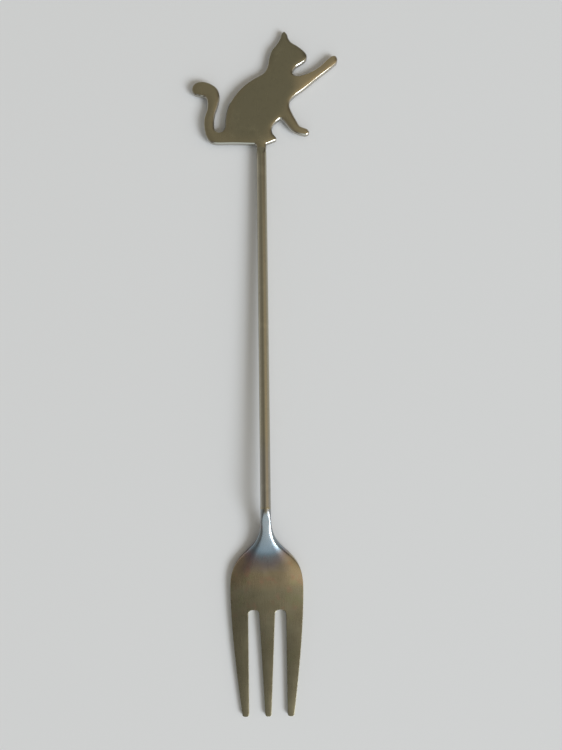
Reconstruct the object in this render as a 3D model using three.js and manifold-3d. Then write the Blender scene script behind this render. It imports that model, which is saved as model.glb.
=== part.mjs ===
// Appetizer fork: a flat cat finial, a round stem and a three-tined head, joined by two brazed tenons.
// Millimetres, +Z up. The fork lies face up on Z = 0, with the cat towards +Y and the tines towards -Y.
import * as THREE from 'three';
import { mergeVertices } from 'three/addons/utils/BufferGeometryUtils.js';
import Module from 'manifold-3d';

const wasm = await Module();
wasm.setup();

// Stem: a straight rod that rises from the finial to the neck of the head
const stemDiameter = 2.2;
const stemLength = 77.3;
const neckHeight = 4.3; // stem axis above the table, where the head begins

// Brazed joints: a round tenon in each drilled end of the stem, with a ring of filler at the seam
const tenonLength = 3;
const socketWall = 0.45;
const brazeGap = 0.05;
const brazeWidth = 0.4;
const fillerWall = 0.12;

// Cat finial: a plate with a rounded rim and a short stub that meets the stem
const finialHeight = 26.6; // base to ear tip
const finialThickness = 1.6;
const finialRim = 0.25;
const stubLength = 2.4;
const stubFillet = 0.6;
const stubRoot = 0.3; // how far the base line has come down where the stub leaves it

// Fork head: neck, shoulders and palm
const headLength = 42.5; // seam to tine tips
const headWidth = 15.3;
const headThickness = 1.4;
const headEdge = 0.2; // rounding of the long edges of palm and tines
const neckEdge = 0.5; // rounding of the neck's edges
const neckLength = 1.8; // stretch that keeps the width of the stem
const shoulderLength = 16.4; // seam to full width
const neckFlare = 8.5; // how softly the outline leaves the neck
const shoulderRound = 8.9; // how softly it reaches the full width
const sideRound = 9.4; // how far the sides of the tines stay near the full width
const neckBend = 1; // how far the neck follows the stem before it turns down
const heelLength = 10.6; // seam to the foot of the neck's slope
const heelBend = 2.2; // how softly the slope levels out into the palm
const flatLength = 2.4; // seam to where the round neck has become a plate
const rollStart = 4.1; // seam to where the shoulders begin to roll down
const shoulderDrop = 0.5; // how far the shoulders roll down at their edges
const palmArch = 0.28; // how far the middle of the palm stands over its sides
const palmStart = 12; // seam to where the rolled shoulders give way to the arched palm
const palmFull = 18.7; // seam to the full arch
const archFade = 20.2; // seam to where the arch begins to level out
const archEnd = 29.2; // seam to where the tines lie level

// Tines and the two slots between them
const slotLength = 21.55; // root to tine tips
const slotRootWidth = 2.35;
const slotCorner = 0.75; // rounding of the slot roots
const middleTineWidth = 3.25; // at the slot roots
const tineTipWidth = 1.3;
const tineTipCorner = 0.45; // rounding of the tips
const tineTipSpan = 10.6; // across the three tips
const tineTipThickness = 1;

// Worked out from the sizes above
const stemRadius = stemDiameter / 2;
const socketRadius = stemRadius - socketWall;
const tenonRadius = socketRadius - brazeGap;
const socketDepth = tenonLength - brazeWidth + brazeGap;
const stemEnd = brazeWidth + stemLength;
const stubEnd = stemEnd + brazeWidth;
const finialBase = stubEnd + stubLength;
const handleReach = finialBase + finialHeight;
const handleTilt = Math.asin((neckHeight - finialThickness / 2) / handleReach);

// Fineness of the curved surfaces
const roundSides = 32;
const outlineSteps = 3;
const rimSteps = 2;
const arcSteps = 10;
const curveSteps = 40;
const neckRows = 40;
const tineRows = 14;
const topSteps = 8;
const cornerSteps = 4;
const circlePower = 2;
const stubPower = 5;
const weld = 1e-4;

// Outline of the cat, drawn 26.6 high from the base line up, counter-clockwise from the hind toe
const drawnHeight = 26.6;
const hindLeg = [
  [2.4, 0.2], [3.3, 0.65], [3.3, 1.15], [2.6, 2.1], [2.35, 3.2], [2.75, 4.2], [3.55, 5.05], [4.45, 5.6],
];
const standingLeg = [
  [5.2, 4.9], [6, 3.8], [7.1, 2.65], [8.5, 1.95], [10.1, 1.7], [10.7, 2.25], [10.3, 3.05], [9.4, 3.45],
  [8.65, 3.8], [7.9, 5.1], [7, 6.9], [6.4, 8.6], [6.6, 9.9], [7.6, 11],
];
const raisedLeg = [
  [9.6, 12.5], [12.9, 15.25], [16.4, 18.05], [17.25, 18.9], [17.4, 19.75], [17, 20.5], [16.2, 20.5],
  [15.2, 19.8], [13.6, 18.25], [11.6, 16.9], [9.6, 16.05], [8.2, 15.8],
];
const muzzle = [
  [7.45, 16.1], [7.3, 16.8], [7.9, 17.85], [9.4, 18.85], [10.35, 19.7], [10.55, 20.6], [10.1, 21.5],
  [8.6, 22.9], [7, 24],
];
const ear = [[6.45, 24.85], [6.05, 26.05], [5.45, 26.6], [4.9, 26.15], [4.45, 24.85], [3.6, 23.4]];
const back = [
  [2.6, 22.1], [1.95, 20.2], [1.5, 18], [0.7, 16.6], [-1.6, 15.2], [-3.8, 13.6], [-5.6, 11.6], [-6.9, 9.5],
  [-7.7, 7.1], [-8, 4.9],
];
const tailNotch = [[-8.1, 3.6], [-8.7, 2.85], [-9.6, 2.7], [-10.3, 3.2], [-10.5, 4.4]];
const tail = [
  [-10.35, 6.6], [-9.6, 9.1], [-9.25, 11.2], [-9.75, 12.9], [-11.2, 14.15], [-13.3, 14.75], [-14.9, 14.2],
  [-15.5, 12.9], [-15, 11.75], [-13.7, 11.3], [-12.4, 10.9], [-12, 9.7], [-12.1, 8], [-12.7, 6],
  [-12.75, 3.8], [-12.15, 1.4], [-11.4, 0.4],
];
const base = [[-10.4, 0], [-6, -0.1]];

function steel(color, roughness) {
  return new THREE.MeshStandardMaterial({ color, roughness, metalness: 1 });
}

function piece(name, geometry, material) {
  const mesh = new THREE.Mesh(geometry, material);
  mesh.name = name;
  return mesh;
}

function toSolid(geometry) {
  const bare = geometry.clone();
  bare.deleteAttribute('normal');
  bare.deleteAttribute('uv');
  const merged = mergeVertices(bare, weld);
  return new wasm.Manifold(new wasm.Mesh({
    numProp: 3,
    vertProperties: merged.getAttribute('position').array,
    triVerts: Uint32Array.from(merged.index.array),
  }));
}

function toGeometry(solid) {
  const mesh = solid.getMesh();
  const geometry = new THREE.BufferGeometry();
  geometry.setAttribute('position', new THREE.BufferAttribute(mesh.vertProperties, 3));
  geometry.setIndex(new THREE.BufferAttribute(mesh.triVerts, 1));
  geometry.computeVertexNormals();
  return geometry;
}

// Surface through closed rings of equally many points; the last ring meets the first one where it wraps,
// and otherwise each end is closed by a fan about the ring's middle
function loft(rings, wraps) {
  const sides = rings[0].length;
  const points = rings.flat();
  const faces = [];
  const spans = wraps ? rings.length : rings.length - 1;
  for (let row = 0; row < spans; row += 1) {
    const next = (row + 1) % rings.length;
    for (let side = 0; side < sides; side += 1) {
      const a = row * sides + side;
      const b = row * sides + (side + 1) % sides;
      const c = next * sides + (side + 1) % sides;
      const d = next * sides + side;
      faces.push(a, b, c, a, c, d);
    }
  }
  if (!wraps) {
    for (const [row, turned] of [[0, true], [rings.length - 1, false]]) {
      const middle = points.length;
      const sum = rings[row].reduce((total, point) => total.add(point), new THREE.Vector3());
      points.push(sum.divideScalar(sides));
      for (let side = 0; side < sides; side += 1) {
        const a = row * sides + side;
        const b = row * sides + (side + 1) % sides;
        faces.push(...(turned ? [middle, b, a] : [middle, a, b]));
      }
    }
  }
  const geometry = new THREE.BufferGeometry().setFromPoints(points);
  geometry.setIndex(faces);
  geometry.computeVertexNormals();
  return geometry;
}

// Tenon along Y, from a little inside the piece that carries it
function tenon(start, direction) {
  const root = socketWall;
  const geometry = new THREE.CylinderGeometry(tenonRadius, tenonRadius, tenonLength + root, roundSides);
  return geometry.translate(0, start + direction * (tenonLength - root) / 2, 0);
}

function catOutline() {
  const scale = finialHeight / drawnHeight;
  const drawn = [hindLeg, standingLeg, raisedLeg, muzzle, ear, back, tailNotch, tail, base].flat();
  const points = [
    new THREE.Vector3(stemRadius, -stubRoot, 0),
    ...drawn.map(([x, y]) => new THREE.Vector3(x * scale, y * scale, 0)),
    new THREE.Vector3(-stemRadius - stubFillet, -stubRoot, 0),
  ];
  const curve = new THREE.CatmullRomCurve3(points, false, 'centripetal');
  const shape = new THREE.Shape();
  shape.moveTo(stemRadius, -stubLength);
  for (const point of curve.getPoints(outlineSteps * (points.length - 1))) {
    shape.lineTo(point.x, point.y);
  }
  shape.quadraticCurveTo(-stemRadius, -stubRoot, -stemRadius, -stubRoot - stubFillet);
  shape.lineTo(-stemRadius, -stubLength);
  return shape;
}

function catFinial() {
  const plate = new THREE.ExtrudeGeometry(catOutline(), {
    depth: finialThickness - 2 * finialRim,
    bevelThickness: finialRim,
    bevelSize: finialRim,
    bevelOffset: -finialRim,
    bevelSegments: rimSteps,
    curveSegments: arcSteps,
  });
  plate.translate(0, 0, finialRim - finialThickness / 2);
  return toGeometry(toSolid(plate).add(toSolid(tenon(-stubLength, -1))));
}

function stemRod() {
  const profile = [
    [0, brazeWidth + socketDepth], [socketRadius, brazeWidth + socketDepth], [socketRadius, brazeWidth],
    [stemRadius, brazeWidth], [stemRadius, stemEnd], [socketRadius, stemEnd],
    [socketRadius, stemEnd - socketDepth], [0, stemEnd - socketDepth],
  ];
  return new THREE.LatheGeometry(profile.map(([r, y]) => new THREE.Vector2(r, y)), roundSides);
}

// Ring across the stem: an oval that is squarer the higher its power is
function crossRing(halfWidth, halfHeight, power, y) {
  const ring = [];
  for (let side = 0; side < roundSides; side += 1) {
    const angle = 2 * Math.PI * side / roundSides;
    const across = Math.cos(angle);
    const up = Math.sin(angle);
    const x = halfWidth * Math.sign(across) * Math.abs(across) ** (2 / power);
    const z = halfHeight * Math.sign(up) * Math.abs(up) ** (2 / power);
    ring.push(new THREE.Vector3(x, y, z));
  }
  return ring;
}

// Ring of filler in the seam that ends at the given place, whose far side has the given half height and power
function fillerRing(seamEnd, farHalfHeight, farPower) {
  const near = seamEnd - brazeWidth + brazeGap;
  const far = seamEnd - brazeGap;
  return loft([
    crossRing(stemRadius, farHalfHeight, farPower, far),
    crossRing(stemRadius, stemRadius, circlePower, near),
    crossRing(socketRadius, socketRadius, circlePower, near),
    crossRing(socketRadius, socketRadius, circlePower, far),
  ], true);
}

// Half width of the head at a distance from its seam
function headHalfWidths() {
  const half = headWidth / 2;
  const outline = new THREE.Path();
  outline.moveTo(0, stemRadius);
  outline.lineTo(neckLength, stemRadius);
  outline.bezierCurveTo(
    neckLength + neckFlare, stemRadius, shoulderLength - shoulderRound, half, shoulderLength, half,
  );
  outline.quadraticCurveTo(shoulderLength + sideRound, half, headLength, tineTipSpan / 2);
  outline.lineTo(headLength + headThickness, tineTipSpan / 2);
  const points = outline.getPoints(curveSteps);
  return (distance) => {
    const last = Math.max(1, points.findIndex((point) => point.x >= distance));
    const [a, b] = [points[last - 1], points[last]];
    return THREE.MathUtils.mapLinear(distance, a.x, b.x, a.y, b.y);
  };
}

// Section of the head, as shares of its half width and half thickness: an even circle turned into a plate
function headSection(halfWidth, halfThickness, flatness, rounding) {
  const edge = Math.min(rounding, 0.9 * halfThickness);
  const plate = [];
  const addCorner = (sideX, sideZ, from) => {
    for (let step = 0; step <= cornerSteps; step += 1) {
      const angle = from + Math.PI / 2 * step / cornerSteps;
      const x = sideX * (halfWidth - edge) + edge * Math.cos(angle);
      const z = sideZ * (halfThickness - edge) + edge * Math.sin(angle);
      plate.push([x / halfWidth, z / halfThickness]);
    }
  };
  const addFlat = (sideZ) => {
    for (let step = 1; step < topSteps; step += 1) {
      const along = sideZ * (1 - 2 * step / topSteps);
      plate.push([along * (halfWidth - edge) / halfWidth, sideZ]);
    }
  };
  addCorner(1, 1, 0);
  addFlat(1);
  addCorner(-1, 1, Math.PI / 2);
  addCorner(-1, -1, Math.PI);
  addFlat(-1);
  addCorner(1, -1, 1.5 * Math.PI);
  return plate.map(([x, z], index) => {
    const angle = 2 * Math.PI * (index + 0.5) / plate.length;
    return [
      THREE.MathUtils.lerp(Math.cos(angle), x, flatness),
      THREE.MathUtils.lerp(Math.sin(angle), z, flatness),
    ];
  });
}

// Middle line of the neck, as distance and height: it follows the stem, slopes down and levels out
function neckLine() {
  const palm = headThickness / 2;
  const brow = new THREE.Vector2(neckBend, neckHeight + neckBend * Math.tan(handleTilt));
  const heel = new THREE.Vector2(heelLength, palm);
  const slope = heel.clone().sub(brow).normalize();
  const slopeStart = brow.clone().addScaledVector(slope, neckBend);
  const slopeEnd = heel.clone().addScaledVector(slope, -heelBend);
  const line = new THREE.Path();
  line.moveTo(0, neckHeight);
  line.quadraticCurveTo(brow.x, brow.y, slopeStart.x, slopeStart.y);
  line.lineTo(slopeEnd.x, slopeEnd.y);
  line.quadraticCurveTo(heel.x, heel.y, heel.x + heelBend, palm);
  line.lineTo(shoulderLength, palm);
  return line;
}

// How far a place across the head, from -1 to 1, is raised at a distance from the seam and a rise off the
// table: the shoulders roll down outside the middle half of the width, and the palm is arched
function headLift(across, distance, rise) {
  const { smoothstep } = THREE.MathUtils;
  const palm = smoothstep(distance, palmStart, palmFull);
  const roll = shoulderDrop * smoothstep(distance, rollStart, heelLength) * (1 - palm);
  const outer = Math.max(0, 2 * Math.abs(across) - 1);
  const arch = palmArch * palm * (1 - smoothstep(distance, archFade, archEnd));
  return roll * (1 - outer ** 2 - rise / (rise + shoulderDrop)) + arch * (1 - across ** 2);
}

// The head without its slots: a round neck that turns down, spreads and flattens into the palm
function headSlab() {
  const { lerp, mapLinear, smoothstep } = THREE.MathUtils;
  const halfWidthAt = headHalfWidths();
  const palm = headThickness / 2;
  const neck = neckLine();
  const rows = [];
  for (let row = 0; row <= neckRows; row += 1) {
    const share = row / neckRows;
    rows.push({ at: neck.getPoint(share), along: neck.getTangent(share) });
  }
  const end = headLength + headThickness / 2;
  for (let row = 1; row <= tineRows; row += 1) {
    const distance = lerp(shoulderLength, end, row / tineRows);
    const half = mapLinear(distance, shoulderLength, headLength, palm, tineTipThickness / 2);
    rows.push({ at: new THREE.Vector2(distance, half), along: new THREE.Vector2(1, 0), half });
  }
  return loft(rows.map(({ at, along, half }) => {
    const flatness = smoothstep(at.x, 0, flatLength);
    const halfThickness = half ?? lerp(stemRadius, palm, flatness);
    const rounding = lerp(neckEdge, headEdge, smoothstep(at.x, rollStart, palmStart));
    const rise = Math.max(0, at.y - halfThickness);
    const halfWidth = halfWidthAt(at.x);
    return headSection(halfWidth, halfThickness, flatness, rounding).map(([x, z]) => {
      const up = z * halfThickness;
      const lift = headLift(x, at.x, rise);
      return new THREE.Vector3(x * halfWidth, up * along.y - at.x, at.y + up * along.x + lift);
    });
  }), false);
}

// Prism whose outline has the slots and the rounded tine tips, and stands clear of the head's outer edges
function tineComb() {
  const clear = headThickness;
  const outside = headWidth / 2 + clear;
  const tipY = -headLength;
  const tipStart = tipY + tineTipCorner;
  const tipHalf = tineTipWidth / 2;
  const tipOuter = tineTipSpan / 2;
  const tipInner = tipOuter - tineTipWidth;
  const slotInner = middleTineWidth / 2;
  const slotOuter = slotInner + slotRootWidth;
  const slotStart = tipY + slotLength - slotCorner;
  const comb = new THREE.Shape();
  const tip = (from, to) => {
    comb.lineTo(from, tipStart);
    comb.absarc(from + tineTipCorner, tipStart, tineTipCorner, Math.PI, 1.5 * Math.PI);
    comb.absarc(to - tineTipCorner, tipStart, tineTipCorner, 1.5 * Math.PI, 2 * Math.PI);
  };
  const slot = (from, to) => {
    comb.lineTo(from, slotStart);
    comb.absarc(from + slotCorner, slotStart, slotCorner, Math.PI, Math.PI / 2, true);
    comb.absarc(to - slotCorner, slotStart, slotCorner, Math.PI / 2, 0, true);
  };
  comb.moveTo(-outside, clear);
  comb.lineTo(-outside, slotStart);
  tip(-tipOuter - brazeGap, -tipInner);
  slot(-slotOuter, -slotInner);
  tip(-tipHalf, tipHalf);
  slot(slotInner, slotOuter);
  tip(tipInner, tipOuter + brazeGap);
  comb.lineTo(outside, slotStart);
  comb.lineTo(outside, clear);
  const depth = neckHeight + stemDiameter + 2 * clear;
  const prism = new THREE.ExtrudeGeometry(comb, { depth, bevelEnabled: false, curveSegments: arcSteps });
  return prism.translate(0, 0, -clear);
}

function forkHead() {
  const peg = tenon(0, 1);
  peg.rotateX(-handleTilt).translate(0, 0, neckHeight);
  return toGeometry(toSolid(headSlab()).intersect(toSolid(tineComb())).add(toSolid(peg)));
}

const finial = piece('cat_finial', catFinial(), steel(0x5e583f, 0.38));
finial.position.y = finialBase;
const stem = piece('stem_rod', stemRod(), steel(0x6b6650, 0.34));
const finialHalfHeight = Math.max(finialThickness / 2, socketRadius + fillerWall);
const finialFiller = fillerRing(stubEnd, finialHalfHeight, stubPower);
const finialBraze = piece('finial_braze', finialFiller, steel(0x77705a, 0.42));
const headBraze = piece('head_braze', fillerRing(brazeWidth, stemRadius, circlePower), steel(0x77705a, 0.42));
const head = piece('fork_head', forkHead(), steel(0x5a543e, 0.36));

// The finial, the stem and the filler rings share the slope of the stem
const handle = new THREE.Group();
handle.add(finial, finialBraze, stem, headBraze);
handle.rotation.x = -handleTilt;
handle.position.z = neckHeight;

// The origin lies on the table, under the middle of the fork
const fork = new THREE.Group();
fork.add(handle, head);
const box = new THREE.Box3().setFromObject(fork, true);
const middle = box.getCenter(new THREE.Vector3());
fork.position.set(-middle.x, -middle.y, -box.min.z);
fork.updateMatrixWorld(true);

export default fork;
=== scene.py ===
"""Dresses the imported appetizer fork: five satin steel pieces, a pale floor, soft light and a camera."""
import math
from types import SimpleNamespace

import bmesh
import bpy
import numpy as np
from bpy.props import FloatProperty, FloatVectorProperty, PointerProperty
from mathutils import Matrix, Vector
from mathutils.geometry import delaunay_2d_cdt


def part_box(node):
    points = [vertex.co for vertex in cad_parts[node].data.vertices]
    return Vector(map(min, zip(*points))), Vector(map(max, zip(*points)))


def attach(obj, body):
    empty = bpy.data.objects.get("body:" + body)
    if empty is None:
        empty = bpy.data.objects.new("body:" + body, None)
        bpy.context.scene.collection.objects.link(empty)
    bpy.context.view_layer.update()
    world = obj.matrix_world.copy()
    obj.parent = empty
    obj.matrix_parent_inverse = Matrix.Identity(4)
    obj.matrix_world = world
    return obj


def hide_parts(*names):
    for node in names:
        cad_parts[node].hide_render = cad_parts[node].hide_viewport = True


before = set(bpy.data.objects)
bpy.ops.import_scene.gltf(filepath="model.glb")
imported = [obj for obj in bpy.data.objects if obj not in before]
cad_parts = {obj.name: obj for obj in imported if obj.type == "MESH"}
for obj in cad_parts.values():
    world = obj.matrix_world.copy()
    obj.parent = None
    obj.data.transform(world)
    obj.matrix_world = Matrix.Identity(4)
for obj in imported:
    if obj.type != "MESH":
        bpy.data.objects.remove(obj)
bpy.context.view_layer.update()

bl_info = {
    "name": "Appetizer fork with a cat finial",
    "version": (1, 0, 0),
    "blender": (4, 5, 0),
    "location": "3D View > Sidebar > Fork",
    "description": "Dresses the packed fork in satin steel, on a pale floor under soft light",
    "category": "Object",
}

MM = 0.001

# Step along the cat's outline, and length of the first row at the end of a bar, in mm
OUTLINE_STEP = 0.16
COLLAR = 0.02

# Points round a bar, and the power p that makes |x/a|^p + |z/b|^p = 1 a circle
AROUND = 72
CIRCLE_POWER = 2.0

HEAD_LOW, HEAD_HIGH = (np.array(corner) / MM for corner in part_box("fork_head"))
STEM_X = (HEAD_LOW[0] + HEAD_HIGH[0]) / 2

# The cat's outline in mm from the middle of its base, counter-clockwise from the right of the stem
CAT_OUTLINE = {
    "hind leg": [(2.4, 0.2), (3.3, 0.65), (3.3, 1.15), (2.6, 2.1), (2.35, 3.2), (2.75, 4.2), (3.55, 5.05),
                 (4.45, 5.6)],
    "standing leg": [(5.2, 4.9), (6, 3.8), (7.1, 2.65), (8.5, 1.95), (10.1, 1.7), (10.7, 2.25),
                     (10.3, 3.05), (9.4, 3.45), (8.65, 3.8), (7.9, 5.1), (7, 6.9), (6.4, 8.6), (6.6, 9.9),
                     (7.6, 11)],
    "raised leg": [(9.6, 12.5), (12.9, 15.25), (16.4, 18.05), (17.25, 18.9), (17.4, 19.75), (17, 20.5),
                   (16.2, 20.5), (15.2, 19.8), (13.6, 18.25), (11.6, 16.9), (9.6, 16.05), (8.2, 15.8)],
    "muzzle": [(7.45, 16.1), (7.3, 16.8), (7.9, 17.85), (9.4, 18.85), (10.35, 19.7), (10.55, 20.6),
               (10.1, 21.5), (8.6, 22.9), (7, 24)],
    "ear": [(6.45, 24.85), (6.05, 26.05), (5.45, 26.6), (4.9, 26.15), (4.45, 24.85), (3.6, 23.4)],
    "back": [(2.6, 22.1), (1.95, 20.2), (1.5, 18), (0.7, 16.6), (-1.6, 15.2), (-3.8, 13.6), (-5.6, 11.6),
             (-6.9, 9.5), (-7.7, 7.1), (-8, 4.9)],
    "tail notch": [(-8.1, 3.6), (-8.7, 2.85), (-9.6, 2.7), (-10.3, 3.2), (-10.5, 4.4)],
    "tail": [(-10.35, 6.6), (-9.6, 9.1), (-9.25, 11.2), (-9.75, 12.9), (-11.2, 14.15), (-13.3, 14.75),
             (-14.9, 14.2), (-15.5, 12.9), (-15, 11.75), (-13.7, 11.3), (-12.4, 10.9), (-12, 9.7),
             (-12.1, 8), (-12.7, 6), (-12.75, 3.8), (-12.15, 1.4), (-11.4, 0.4)],
    "base": [(-10.4, 0), (-6, -0.1)],
}


def length(name, description, millimetres):
    """A size in millimetres as a length property in metres."""
    return FloatProperty(name=name, description=description, default=millimetres * MM, min=0.0,
                         precision=5, unit="LENGTH", subtype="DISTANCE")


def amount(name, description, default, low=0.0, high=1.0):
    """A plain number between two limits."""
    return FloatProperty(name=name, description=description, default=default, min=low, max=high)


def angle(name, description, degrees):
    """An angle given in degrees as a rotation property."""
    return FloatProperty(name=name, description=description, default=math.radians(degrees),
                         unit="ROTATION", subtype="ANGLE")


def colour(name, description, default):
    """A linear colour."""
    return FloatVectorProperty(name=name, description=description, default=default, size=3,
                               min=0.0, max=1.0, subtype="COLOR")


class FinialSizes(bpy.types.PropertyGroup):
    """Sizes of the cat plate and its stub, in metres."""

    thickness: length("Thickness", "Thickness of the cat plate", 1.6)
    rim_width: length("Rim width", "How far the softened chamfer reaches into the face", 0.22)
    rim_depth: length("Rim depth", "How far the softened chamfer falls", 0.18)
    crown: length("Crown", "How much the body's face falls towards its outline", 0.05)
    limb_crown: length("Limb crown", "How much the face of a narrow limb falls towards its outline", 0.2)
    crown_reach: length("Crown reach", "Distance from the outline over which the crown fades", 1.1)
    stub_length: length("Stub length", "Length of the flat stub under the cat", 2.4)
    stub_fillet: length("Stub fillet", "Fillet between the stub and the cat's base", 0.6)
    stub_root: length("Stub root", "How far the base line has come down where the stub leaves it", 0.3)


class StemSizes(bpy.types.PropertyGroup):
    """Sizes of the stem and of the two seams at its ends, in metres."""

    diameter: length("Diameter", "Diameter of the round stem", 2.2)
    start: length("Start", "Where the rod starts, from the neck seam", 0.2)
    end: length("End", "Where the rod ends, from the neck seam", 77.6)
    finial_base: length("Finial base", "Distance from the neck seam to the cat's base", 80.5)
    neck_height: length("Neck height", "Height of the stem's axis at the neck seam", 4.3)
    reach: length("Reach", "Distance from the neck seam to the ear tip", 107.1)
    seam_proud: length("Seam proud", "How far the filler stands over the metal", 0.005)
    seam_lap: length("Seam lap", "How far the finial's seam starts before the end of the rod", 0.4)
    seam_length: length("Seam length", "Length of the finial's seam", 2.4)
    seam_sink: length("Seam sink", "How far the finial's seam ends under the face of the stub", 0.13)


class HeadSizes(bpy.types.PropertyGroup):
    """Sizes of the head, in metres."""

    length: length("Length", "Neck seam to tine tips", 42.5)
    width: length("Width", "Widest part of the palm", 15.3)
    thickness: length("Thickness", "Thickness of the palm", 1.4)
    tip_thickness: length("Tip thickness", "Thickness at the tine tips", 1.0)
    neck_length: length("Neck length", "Stretch of the neck that keeps the width of the stem", 1.8)
    shoulder_length: length("Shoulder length", "Neck seam to the full width", 16.4)
    neck_flare: length("Neck flare", "How softly the outline leaves the neck", 8.5)
    shoulder_round: length("Shoulder round", "How softly the outline reaches the full width", 8.9)
    side_round: length("Side round", "How far the sides stay near the full width", 9.4)
    neck_bend: length("Neck bend", "Length of the bend from the stem into the slope of the neck", 1.0)
    heel: length("Heel", "Neck seam to the foot of the slope", 10.6)
    heel_bend: length("Heel bend", "Length of the bend from the slope into the palm", 2.2)
    palm_arch: length("Palm arch", "How far the middle of the palm is raised over its sides", 0.28)
    slot_length: length("Slot length", "Slot root to tine tips", 21.55)
    slot_width: length("Slot width", "Width of a slot at its root", 2.35)
    middle_tine: length("Middle tine", "Width of the middle tine at its root", 3.25)
    tip_width: length("Tip width", "Width of a tine at its tip", 1.3)
    tip_span: length("Tip span", "Width across the three tips", 10.6)
    rim_width: length("Rim width", "How far the rounded edge of palm and tines reaches into the face", 0.08)
    neck_rim: length("Neck rim", "How far the rounded edge of the neck reaches into its face", 0.85)
    neck_crown: length("Neck crown", "How much the slope of the neck falls towards its sides", 0.2)
    tine_crown: length("Tine crown", "How much a tine's face falls towards its sides", 0.03)
    roll_start: length("Roll start", "Neck seam to where the shoulders begin to roll down", 4.1)
    palm_full: length("Palm full", "Neck seam to the full arch of the palm", 18.7)
    shoulder_drop: length("Shoulder drop", "How far the shoulders roll down at their sides", 0.55)


class SteelFinish(bpy.types.PropertyGroup):
    """Colours and gloss of the metal."""

    steel: colour("Steel", "Satin steel", (0.33, 0.305, 0.215))
    stem: colour("Stem", "Satin steel of the stem", (0.41, 0.378, 0.29))
    stem_grey: colour("Stem grey", "Stem that heat has greyed near the neck seam", (0.38, 0.362, 0.315))
    polished: colour("Polished", "Steel of the polished edges", (0.46, 0.45, 0.42))
    filler: colour("Filler", "Brazing metal of the two seams", (0.39, 0.36, 0.27))
    worn: colour("Worn", "Steel that handling has brightened on the cat's legs", (0.57, 0.476, 0.31))
    # The two blues are partly heat tint and partly a painted reflection of the cool sky on the slope of the
    # neck
    neck_blue_and_sky: colour("Neck blue", "Heat tint nearest the neck seam", (0.315, 0.34, 0.355))
    neck_deep_blue_and_sky: colour("Neck deep blue", "Heat tint at the foot of the slope", (0.225, 0.29, 0.345))
    neck_purple: colour("Neck purple", "Heat tint beyond the blue", (0.29, 0.26, 0.27))
    neck_straw: colour("Neck straw", "Heat tint furthest from the seam", (0.4, 0.335, 0.225))
    roughness: amount("Roughness", "Roughness of the satin faces", 0.24)
    stem_roughness: amount("Stem roughness", "Roughness of the stem", 0.17)
    head_roughness: amount("Head roughness", "Roughness of the heat-tinted head", 0.28)
    grain_depth: length("Grain depth", "Depth of the brushed grain", 0.004)


class StageLook(bpy.types.PropertyGroup):
    """Floor, light and camera."""

    floor: colour("Floor", "Colour of the pale floor", (0.745, 0.75, 0.765))
    floor_half: length("Floor half", "Half the side of the floor", 700.0)
    floor_drop: length("Floor drop", "How far the floor lies under the fork", 0.02)
    overhead: colour("Overhead", "Light from overhead", (0.32, 0.31, 0.265))
    front: colour("Front", "Cool light from the tine end", (0.88, 0.97, 1.0))
    right: colour("Right", "Warm light from the right", (0.82, 0.70, 0.53))
    low_right: colour("Low right", "Light from low at the right", (0.74, 0.71, 0.66))
    left: colour("Left", "Dim light from the upper left", (0.17, 0.15, 0.13))
    low_left: colour("Low left", "Light from low at the left", (0.38, 0.37, 0.34))
    key_power: FloatProperty(name="Key power", description="Power of the window light", default=123.0,
                             min=0.0, unit="POWER")
    key_colour: colour("Key colour", "Colour of the window light", (0.86, 0.93, 1.0))
    key_size: length("Key size", "Side of the square window light", 1760.0)
    key_distance: length("Key distance", "Distance of the window light from the fork", 4000.0)
    key_towards: FloatVectorProperty(name="Key towards", description="Direction of the window light",
                                     default=(0.585, -0.54, 0.605), size=3, subtype="DIRECTION")
    camera_place: FloatVectorProperty(name="Camera place", description="Place of the camera", size=3,
                                      default=(0.00235, -0.02576, 0.18368), precision=5, unit="LENGTH",
                                      subtype="TRANSLATION")
    camera_roll: angle("Camera roll", "Turn of the picture", -0.842)
    camera_tilt: angle("Camera tilt", "Tilt of the camera from straight down", 6.864)
    focal_share: amount("Focal share", "Focal length over the picture's height", 850.0 / 750.0, high=5.0)


def in_mm(group):
    """The lengths of a group of settings, in millimetres."""
    return SimpleNamespace(**{name: getattr(group, name) / MM for name in group.__annotations__})


def smoothstep(value, low, high):
    """0 below low, 1 above high, and the cubic 3t^2 - 2t^3 between them."""
    share = np.clip((value - low) / (high - low), 0.0, 1.0)
    return share * share * (3.0 - 2.0 * share)


def hump(value, rise, fall):
    """0, then 1 after a smooth step over the first stretch, then 0 again after one over the second."""
    return smoothstep(value, *rise) * (1.0 - smoothstep(value, *fall))


def bezier(controls, share):
    """Bezier curve of degree 2 or 3: the control points weighted by the Bernstein polynomials."""
    controls = np.asarray(controls, float)
    degree = len(controls) - 1
    powers = np.arange(degree + 1)
    counts = np.array([math.comb(degree, k) for k in powers])
    share = np.asarray(share, float)[:, None]
    return (counts * share ** powers * (1.0 - share) ** (degree - powers)) @ controls


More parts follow.
